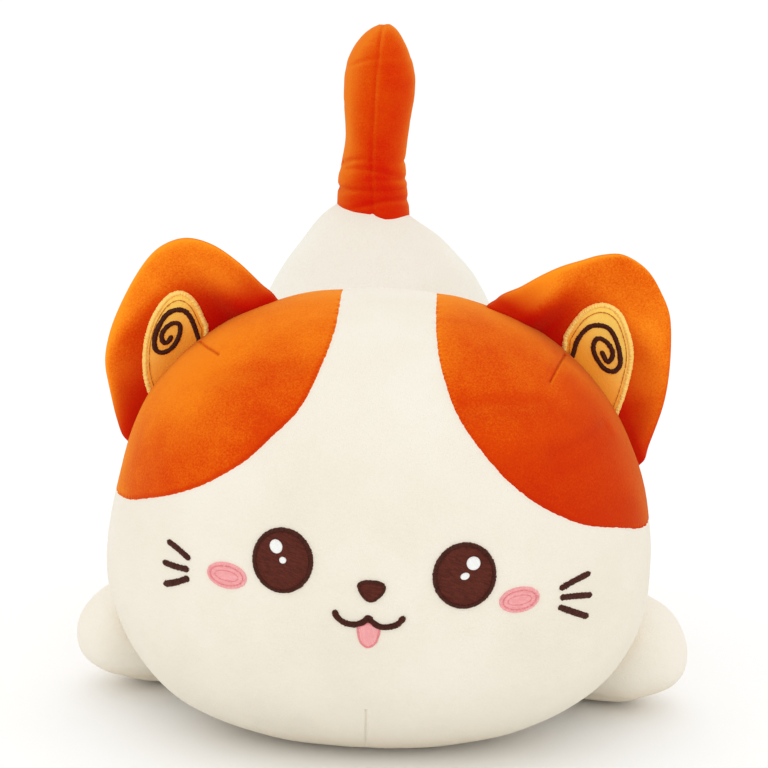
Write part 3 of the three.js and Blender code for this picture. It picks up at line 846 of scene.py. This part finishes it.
def make_ear(side):
    edge = np.array(EAR_OUTLINES[side])
    a, b = edge[0], edge[-1]
    chord = (b - a) / np.linalg.norm(b - a)
    out = np.array([chord[1], -chord[0]])
    out *= np.sign(out @ a)
    base = [b - out * 12 - chord * 6, (a + b) / 2 - out * 20, a - out * 12 + chord * 6]
    line, _ = evenly(smooth_line(np.vstack([edge, base]), True), 1.4 * MM)
    line = line[:-1]
    root = (a + b) / 2 * MM
    middle = root + out * 26 * MM
    turns = np.linspace(0, math.pi / 2, 44)[1:]
    s = np.sin(turns) ** 0.85
    profile = np.concatenate([[1.0], np.repeat(np.cos(turns) ** 0.8, len(line))])
    crease = bell(math.pi / 2 - turns, 0.07) * MM
    reach = np.linalg.norm(line - middle, axis=1)
    s = s[:, None] - crease[:, None] / reach[None]
    flat = np.vstack([middle[None], (middle + (line - middle)[None] * s[..., None]).reshape(-1, 2)])
    u = (flat - root) @ chord / MM
    v = (flat - root) @ out / MM
    thick = (9.5 + 5 * np.clip(1 - v / 60, 0, 1.2)) * MM
    curl = 8 * MM * ((u / 58) ** 2 + (np.maximum(v, 0) / 68) ** 2) ** 2
    cup = 16 * MM * bell(u, 36) * bell(v - 8, 34)
    for high, at_u, at_v, wide_u, wide_v in EAR_FOLDS:
        cup = cup - high * MM * bell(u - at_u, wide_u) * bell(v - at_v, wide_v)
    cup = cup * np.sqrt(profile)
    y0 = EAR_PLANE - curl
    flat[:, 1] += VIEW_SLOPE * curl
    faces = rings(len(turns), len(line))
    flat = flat + HEAD_CENTRE[[0, 2]]

    def finish(thing, slot, *nodes):
        if nodes:
            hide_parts(*nodes)
        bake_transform(thing)

    for face, way, dip in (("front", -1, cup), ("back", 1, 0)):
        y = y0 + way * thick * profile + dip
        points = np.stack([flat[:, 0], y, flat[:, 1]], 1)
        uneven = 0.7 * MM * waves(points, 0.045, 21 + (side == "left")) * (1 - (1 - profile) ** 4)
        points[:, 1] += way * uneven
        turned = facing(points, faces, (0, way, 0))
        if face == "front":
            front = BVHTree.FromPolygons(points.tolist(), turned.tolist())
        kept, kept_faces = clip(points, turned, outside_head(points) + 3 * MM)
        thing = build(f"ear_{face}_skin_{side}", kept, kept_faces, EAR_ORANGE)
        # Painted shade on the ear where it meets the head.
        paint_shade(thing, painted_shade_near_head)
        inside = [f"ear_stuffing_{side}"] if face == "front" else []
        finish(thing, "orange_plush", f"ear_{face}_{side}", *inside)

    def on_ear(x, z, lift):
        made = []
        for i in range(len(x)):
            start = Vector((x[i] + HEAD_CENTRE[0], -0.3, z[i] + HEAD_CENTRE[2]))
            hit, normal, _, _ = front.ray_cast(start, Vector((0, 1, 0)))
            if hit is None:
                hit, normal, _, _ = front.find_nearest(start + Vector((0, 0.2, 0)))
            made.append(hit + normal * lift[i])
        return np.array(made)

    lining = filled(f"lining_{side}", LINING_EDGES[side], on_ear, YELLOW, 1.1 * MM)
    # Painted shade on the lining where the ear meets the head.
    paint_shade(lining, lambda p: 0.7 * painted_shade_near_head(p))
    finish(lining, "yellow_plush", f"ear_lining_{side}")
    outer, inner = (scaled(LINING_EDGES[side], factor) for factor in (0.955, 0.83))
    finish(satin(f"lining_rim_{side}", outer, 2.8, on_ear, GOLD, 1.5 * MM, True), "yellow_plush")
    finish(satin(f"lining_stitch_{side}", inner, 0.6, on_ear, STITCH_BROWN, 1.5 * MM, True), "brown_thread")

    def on_lining(x, z, lift):
        return on_ear(x, z, lift + MM)

    swirl = satin(f"swirl_{side}", SWIRLS[side], 2.9, on_lining, BROWN, 1.2 * MM)
    finish(swirl, "brown_thread", f"ear_swirl_{side}")


for ear_side in SIDES:
    make_ear(ear_side)


# ---------------------------------------------------------------- body, paws, tail

def swell(directions, centre, half, power, form=None, yaw=0.0):
    """A stuffed shape in the row frame; numbers in mm."""
    reach = (np.abs(directions / np.array(half)) ** power).sum(1) ** (-1 / power)
    p = directions * reach[:, None]
    if form:
        form(p)
    turn = math.radians(yaw)
    x = p[:, 0] * math.cos(turn) - p[:, 1] * math.sin(turn)
    y = p[:, 0] * math.sin(turn) + p[:, 1] * math.cos(turn)
    return (np.stack([x, y, p[:, 2]], 1) + centre) * MM


def groove(distance, depth=0.9, width=1.6):
    """How deep a seam pulls the cover in at each distance from it."""
    return (depth * bell(distance, width * MM) + 0.5 * depth * bell(distance, 6 * MM)) * MM


# Head nod and turn, in degrees, that the body and the front paws keep clear of.
HEAD_POSES = [(0, 0), (-2, -6), (-2, 0), (-2, 6), (2.5, 0), (7, -6), (7, 0), (7, 6)]
SMALL_HEAD_POSES = [(0, 0), (-0.7, 0), (0, -1.5), (0, 1.5)]


def clear_of_head(p, poses, gap, way):
    """Moves points along `way` out of the space the head takes at each (nod, turn), in degrees."""
    for _ in range(40):
        short = np.zeros(len(p))
        for nod, turn in poses:
            t, a = math.radians(nod), math.radians(turn)
            q = p - PIVOT["head_turn"]
            back = np.stack([q[:, 0] * math.cos(a) + q[:, 1] * math.sin(a),
                             q[:, 1] * math.cos(a) - q[:, 0] * math.sin(a), q[:, 2]], 1) + PIVOT["head_turn"]
            q = back - PIVOT["head_nod"]
            back = np.stack([q[:, 0], q[:, 1] * math.cos(t) - q[:, 2] * math.sin(t),
                             q[:, 1] * math.sin(t) + q[:, 2] * math.cos(t)], 1) + PIVOT["head_nod"]
            short = np.maximum(short, gap - outside_head(back))
        short = np.clip(short, 0, 4 * MM)
        if short.max() < 0.05 * MM:
            break
        p = p + np.array(way) * short[:, None]
    return p


BODY_CENTRE = np.array([0, 106, 90])


SIDE_SEAM = 24 * MM


def rise(y):
    """How far the back has climbed towards the tail at y mm from the neck."""
    return np.clip(y / 147, 0, 1.05) ** 2


def body_form(p):
    """Bends the plain body: the back climbs to the tail and leans to its right."""
    climb = rise(p[:, 1] + 76)
    p[:, 2] = np.where(p[:, 2] > 0, p[:, 2] * (0.84 + 1.3 * climb), p[:, 2])
    high = bell(p[:, 2] - 96, 34) * np.clip(climb * 1.6 - 0.4, 0, 1)
    p[:, 0] *= 1 + 0.13 * high
    p[:, 2] += 9 * bell(p[:, 0] + 12, 42) * bell(p[:, 1] - 52, 40) * (p[:, 2] > 60)
    p[:, 2] -= 4.5 * bell(p[:, 0] - 26, 18) * np.clip((p[:, 2] - 60) / 40, 0, 1)
    p[:, 0] -= 9 * climb + 5 * np.clip((p[:, 2] - 40) / 110, 0, 1) * climb


def off_spine(p):
    """How far points of the body are to the left of the seam along its back."""
    return p[:, 0] + 9 * MM * rise(p[:, 1] / MM - 30)


def sew(name, points, faces, nodes, material, blend=None):
    """Makes a stuffed piece; without a blend it rides on the torso."""
    points, faces = skirted(points, faces, normals_of(points, faces), 2.5 * MM)
    thing = build(name, points, faces, material)
    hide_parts(*nodes)
    if blend:
        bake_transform(thing)
    else:
        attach(thing, "torso")
    return thing


PRESSURE_FRAMES = 20
SHRINK, MOST = 1.2 * MM, 3 * MM


def stuffed(points, faces, held):
    """Blows the cover up from inside with a cloth simulation, starting SHRINK inside its shape.

    `held` points are sewn down and no point moves further than MOST. The result is subdivided once."""
    points = points - normals_of(points, faces) * SHRINK
    scene = bpy.context.scene
    thing = build("stuffing_trial", points, faces, CREAM)
    group = thing.vertex_groups.new(name="sewn")
    group.add(np.flatnonzero(held).tolist(), 1.0, "REPLACE")
    cloth = thing.modifiers.new("pressure", "CLOTH")
    cloth.settings.quality = 4
    cloth.settings.use_pressure = True
    cloth.settings.uniform_pressure_force = 4
    cloth.settings.effector_weights.gravity = 0
    cloth.settings.vertex_group_mass = "sewn"
    cloth.settings.tension_stiffness = 12
    cloth.settings.bending_stiffness = 0.4
    cloth.collision_settings.use_collision = False
    cloth.point_cache.frame_start = 1
    cloth.point_cache.frame_end = PRESSURE_FRAMES
    for frame_number in range(1, PRESSURE_FRAMES + 1):
        scene.frame_set(frame_number)
    shaped = thing.evaluated_get(bpy.context.evaluated_depsgraph_get())
    move = places_of(shaped.data) - points
    length = np.linalg.norm(move, axis=1)[:, None] + 1e-9
    move *= np.minimum(length, MOST) / length
    thing.modifiers.remove(cloth)
    scene.frame_set(1)
    thing.data.vertices.foreach_set("co", (points + move).astype(np.float32).ravel())
    thing.data.update()
    smooth = thing.modifiers.new("finer", "SUBSURF")
    smooth.levels = 1
    shaped = thing.evaluated_get(bpy.context.evaluated_depsgraph_get())
    mesh = shaped.to_mesh()
    mesh.calc_loop_triangles()
    made = places_of(mesh).astype(float)
    triangles = np.empty(3 * len(mesh.loop_triangles), np.int32)
    mesh.loop_triangles.foreach_get("vertices", triangles)
    shaped.to_mesh_clear()
    bpy.data.objects.remove(thing)
    return made, triangles.reshape(-1, 3)


def make_body():
    directions, faces = unit_ball(6)
    p = swell(directions, BODY_CENTRE, (84, 97, 91), 2.5, body_form)
    near_tail = np.linalg.norm(p[:, :2] - np.array([-12.5, 170]) * MM, axis=1) < 34 * MM
    sewn = (np.abs(p[:, 2] - SIDE_SEAM) < 2 * MM) | (near_tail & (p[:, 2] > 180 * MM))
    sewn |= (p[:, 2] < 0) | (p[:, 1] < 34 * MM)
    p, faces = stuffed(p, faces, sewn)
    n = normals_of(p, faces)
    spine = np.where(p[:, 2] > SIDE_SEAM, np.abs(off_spine(p)), 1)
    dent = groove(spine, 0.12) + groove(np.abs(p[:, 2] - SIDE_SEAM), 0.9)
    dent += 1.0 * MM * waves(p, 0.09, 31) + 0.3 * MM * waves(p, 0.03, 32)
    p = p - n * dent[:, None]
    p = clear_of_head(p, HEAD_POSES, 2 * MM, (0, 1, 0))
    upper = clip(p, faces, p[:, 2] - SIDE_SEAM)
    lower = clip(p, faces, SIDE_SEAM - p[:, 2])
    for side, sign in SIDES.items():
        q, f = clip(*upper, off_spine(upper[0]) * sign)
        nodes = [f"body_side_{side}"] + (["body_stuffing"] if side == "left" else [])
        sew(f"body_skin_{side}", grounded(q), f, nodes, BODY_CREAM)
    sew("belly_skin", grounded(lower[0]), lower[1], ["belly_panel"], BODY_CREAM)


def make_neck():
    """A sleeve between head and body; its rear end runs on inside the body."""
    t = np.linspace(0, 2 * math.pi, 160, endpoint=False)
    rows = np.linspace(0, 1, 40)
    c, s_ = np.cos(t), np.sin(t)
    reach = (np.abs(c) ** 2.4 + np.abs(s_) ** 2.4) ** (-1 / 2.4)
    made = []
    for r in rows:
        y = -14 + 84 * r
        grown = min((y + 14) / 60, 1)
        inside = 0.8 * max(y - 40, 0)
        waist = 1 - 0.06 * math.sin(math.pi * grown)
        half = (55 + 13 * grown) * waist - inside
        top = (46 + 14 * grown) * waist - inside
        made.append(np.stack([half * reach * c, np.full(len(t), y), 88 + top * reach * s_], 1))
    points = np.vstack(made) * MM
    faces = grid_faces(len(rows), len(t), wrap_columns=True)
    faces = facing_out(points, faces, points.mean(0))
    n = normals_of(points, faces)
    points = points - n * (0.8 * MM * waves(points, 0.04, 41))[:, None]
    thing = build("neck_skin", points, faces, BODY_CREAM)
    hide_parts("neck_stuffing")
    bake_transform(thing)


def eased(move, faces, times):
    """Averages a movement with its neighbours', so that it has no sharp start."""
    count = np.zeros(len(move))
    np.add.at(count, faces.ravel(), 2)
    for _ in range(times):
        total = np.zeros_like(move)
        for i in range(3):
            np.add.at(total, faces[:, i], move[faces[:, (i + 1) % 3]] + move[faces[:, (i + 2) % 3]])
        move = total / count[:, None]
    return move


ARMS = {
    "left": dict(centre=(107, -13, 34), half=(84, 38, 36), power=2.3, yaw=-38),
    "right": dict(centre=(-101, -11, 33.5), half=(82, 37, 35), power=2.3, yaw=218),
}
LEG_SHAPE = dict(half=(31, 52, 32), power=2.4)
SOLE_SEAM = 9 * MM


def arm_form(p):
    """Makes a front paw thinner towards the body."""
    t = np.clip((p[:, 0] + 60) / 90, 0, 1)
    grow = 0.84 + 0.16 * smooth_step(t)
    p[:, 1] *= grow
    p[:, 2] *= grow


def make_leg(name, side, p, faces, blend, seed):
    """A paw from its plain shape; with a `blend` given, its pieces are not attached to the torso."""
    sewn = (np.abs(p[:, 2] - SOLE_SEAM) < 2.2 * MM) | (p[:, 2] < 0)
    p, faces = stuffed(p, faces, sewn)
    n = normals_of(p, faces)
    dent = groove(np.abs(p[:, 2] - SOLE_SEAM), 0.9)
    dent += 0.9 * MM * waves(p, 0.06, seed) + 0.3 * MM * waves(p, 0.025, seed + 1)
    p = p - n * dent[:, None]
    if name == "front_paw":
        move = clear_of_head(p, SMALL_HEAD_POSES, 1.6 * MM, (0.45 * SIDES[side], 0.9, 0)) - p
        p = p + eased(move, faces, 16)
    for part, sign in (("upper", 1), ("sole", -1)):
        q, f = clip(p, faces, sign * (p[:, 2] - SOLE_SEAM))
        nodes = [f"{name}_{part}_{side}"] + ([f"{name}_stuffing_{side}"] if part == "upper" else [])
        sew(f"{name}_{part}_skin_{side}", grounded(q), f, nodes, PAW_CREAM, blend)


def make_legs():
    directions, faces = unit_ball(5)
    for side, sign in SIDES.items():
        spec = ARMS[side]
        arm = swell(directions, spec["centre"], spec["half"], spec["power"], arm_form, spec["yaw"])
        root = PIVOT[f"front_paw_{side}_swing"]
        way = np.array([math.cos(math.radians(38)) * sign, -math.sin(math.radians(38)), 0])
        make_leg("front_paw", side, arm, faces,
                 ("torso", f"front_paw_{side}", tuple(root + way * 8 * MM), tuple(root + way * 48 * MM)), 51)
        foot = swell(directions, (82 * sign, 112, 29), LEG_SHAPE["half"], LEG_SHAPE["power"], None, 16 * sign)
        root = PIVOT[f"hind_paw_{side}_splay"]
        make_leg("hind_paw", side, foot, faces,
                 ("torso", f"hind_paw_{side}", tuple(root + np.array([sign, 0, 0]) * -6 * MM),
                  tuple(root + np.array([sign, 0, 0]) * 22 * MM)), 61)


# The tail by height: its left and right edges and its seam, seen from the front (mm).
TAIL_EDGES = np.array([
    (196, -36, 10.5, -12.5), (232, -37, 11, -12.5), (242, -36.8, 9.6, -13),
    (255, -36.5, 7.8, -13.8), (264, -35.5, 6.2, -14.3),
    (275, -33.9, 4.7, -14.8), (287, -33, 6.2, -14.9), (299, -33.4, 8.2, -14.8), (314, -34.4, 10, -14.3),
    (327, -34, 10.2, -14), (337, -32, 8.4, -13.2), (346, -28, 4.6, -12.6), (352.5, -23.4, 0.6, -12),
    (356.5, -19, -2.6, -11.6), (359, -14.5, -6, -11.4), (360, -11, -9, -11.4)])


TAIL_AXIS = np.array([-12.5, 172, 0]) * MM
TAIL_SEED = 71
# Wrinkles round the tail: height and depth in mm, and slope.
WRINKLES = [(249, 0.8, 0.10), (256, 1.1, -0.12), (262.5, 0.9, 0.15), (269, 0.8, -0.08), (275.5, 1.2, 0.05),
            (338, 0.4, 0.2), (304, 0.35, -0.25)]


# Painted shade on the lower tail, strongest 236 mm above the table.
def tail_shade(p):
    return 0.7 * bell(p[:, 2] / MM - 236, 20)


def tail_part(name, low, high, blend, cuff, tip):
    """A sleeve of the tail between two heights; the upper one ends in the tip."""
    t = np.linspace(0, 2 * math.pi, 128, endpoint=False)
    steps = int((high - low) / 0.9)
    k = np.linspace(0, 1, steps)
    z = low + (high - low) * (1 - (1 - k) ** 1.35 if tip else k)
    left, right = (np.convolve(np.pad(np.interp(z, TAIL_EDGES[:, 0], TAIL_EDGES[:, i]), 3, mode="edge"),
                               np.ones(7) / 7, "valid") for i in (1, 2))
    middle, half = (left + right) / 2, (right - left) / 2
    half = half - (cuff or 2.0 * np.exp(-(z - low) / 2.5))
    ahead = 172 - 13 * np.clip((250 - z) / 50, 0, 1) ** 1.2
    points = np.stack([middle[:, None] + half[:, None] * np.cos(t),
                       ahead[:, None] + half[:, None] * np.sin(t) * 0.97,
                       np.repeat(z[:, None], len(t), 1)], -1).reshape(-1, 3) * MM
    faces = grid_faces(steps, len(t), wrap_columns=True)
    if tip:
        top = len(points)
        points = np.vstack([points, [[middle[-1] * MM, TAIL_AXIS[1], (high + 0.3) * MM]]])
        last = top - len(t)
        faces = np.vstack([faces, [[top, last + j, last + (j + 1) % len(t)] for j in range(len(t))]])
    faces = facing_out(points, faces, TAIL_AXIS, slice(2))
    n = normals_of(points, faces)
    seam_x = np.interp(points[:, 2] / MM, TAIL_EDGES[:, 0], TAIL_EDGES[:, 3]) * MM
    off_seam = points[:, 0] - seam_x
    height = points[:, 2] / MM
    wrinkles = np.zeros(len(points))
    around = np.arctan2(points[:, 1] - TAIL_AXIS[1], points[:, 0] - TAIL_AXIS[0])
    for at, depth, tilt in WRINKLES:
        shift = 2.2 * np.sin(2 * around + at) + tilt * off_seam / MM
        uneven = 0.55 + 0.45 * np.sin(around * 1.5 + at * 1.3)
        wrinkles += 1.3 * depth * bell(height - at - shift, 1.7) * uneven
    dent = groove(np.abs(off_seam), 0.8, 1.3) + wrinkles * MM + 0.6 * MM * waves(points, 0.035, TAIL_SEED)
    points = points - n * dent[:, None]
    for side, sign in SIDES.items():
        q, f = clip(points, faces, sign * (points[:, 0] - seam_x))
        nodes = [f"{name}_sleeve_{side}"] + ([f"{name}_stuffing"] if side == "left" else [])
        thing = sew(f"{name}_skin_{side}", q, f, nodes, RUST, blend)
        # Painted shade on the lower tail.
        paint_shade(thing, tail_shade)


def make_tail():
    tail_part("tail_lower", 198, 266, ("torso", "tail_lower", (0, 0, 0.240), (0, 0, 0.252)), 0.8, False)
    tail_part("tail_upper", 256, 359.4, ("tail_lower", "tail_upper", (0, 0, 0.264), (0, 0, 0.288)), 0, True)


make_body()
make_neck()
make_legs()
make_tail()


# ---------------------------------------------------------------- camera, light, floor

def look():
    scene = bpy.context.scene
    camera = bpy.data.objects.new("camera", bpy.data.cameras.new("camera"))
    scene.collection.objects.link(camera)
    ahead = Vector((-0.0162, 0.9726, -0.2321)).normalized()
    up = Vector((-0.0365, 0.2314, 0.9722))
    right = ahead.cross(up).normalized()
    up = right.cross(ahead)
    turn = Matrix((right, up, -ahead)).transposed().to_4x4()
    camera.matrix_world = Matrix.Translation(Vector((0.0268, -1.6358, 0.5630))) @ turn
    camera.data.lens = 137.5
    camera.data.sensor_width = 36
    camera.data.clip_start = 0.1
    scene.camera = camera

    world = bpy.data.worlds.new("studio")
    world.use_nodes = True
    world.node_tree.nodes["Background"].inputs["Color"].default_value = (1, 1, 1, 1)
    world.node_tree.nodes["Background"].inputs["Strength"].default_value = 1.06
    scene.world = world
    scene.view_settings.view_transform = "Standard"

    def softbox(name, place, aim, size, power):
        lamp = bpy.data.objects.new(name, bpy.data.lights.new(name, "AREA"))
        lamp.data.shape = "DISK"
        lamp.data.size = size
        lamp.data.energy = power
        lamp.location = place
        lamp.rotation_euler = (Vector(aim) - Vector(place)).to_track_quat("-Z", "Y").to_euler()
        scene.collection.objects.link(lamp)

    softbox("key", (-1.1, -1.3, 1.5), (0, 0, 0.15), 1.0, 1.2)
    softbox("front", (0.1, -2.2, 0.15), (0, 0, 0.08), 1.2, 3.4)
    softbox("fill", (1.4, -1.2, 0.9), (0, 0, 0.15), 1.2, 0.2)
    softbox("top", (0, 0.3, 1.9), (0, 0, 0.1), 1.2, 0.8)

    bm = bmesh.new()
    bmesh.ops.create_grid(bm, x_segments=2, y_segments=2, size=4)
    mesh = bpy.data.meshes.new("floor")
    bm.to_mesh(mesh)
    bm.free()
    material, _, shader = new_material("floor_paper")
    shader.inputs["Base Color"].default_value = (0.97, 0.97, 0.97, 1)
    shader.inputs["Roughness"].default_value = 0.9
    mesh.materials.append(material)
    floor = bpy.data.objects.new("floor", mesh)
    scene.collection.objects.link(floor)


look()
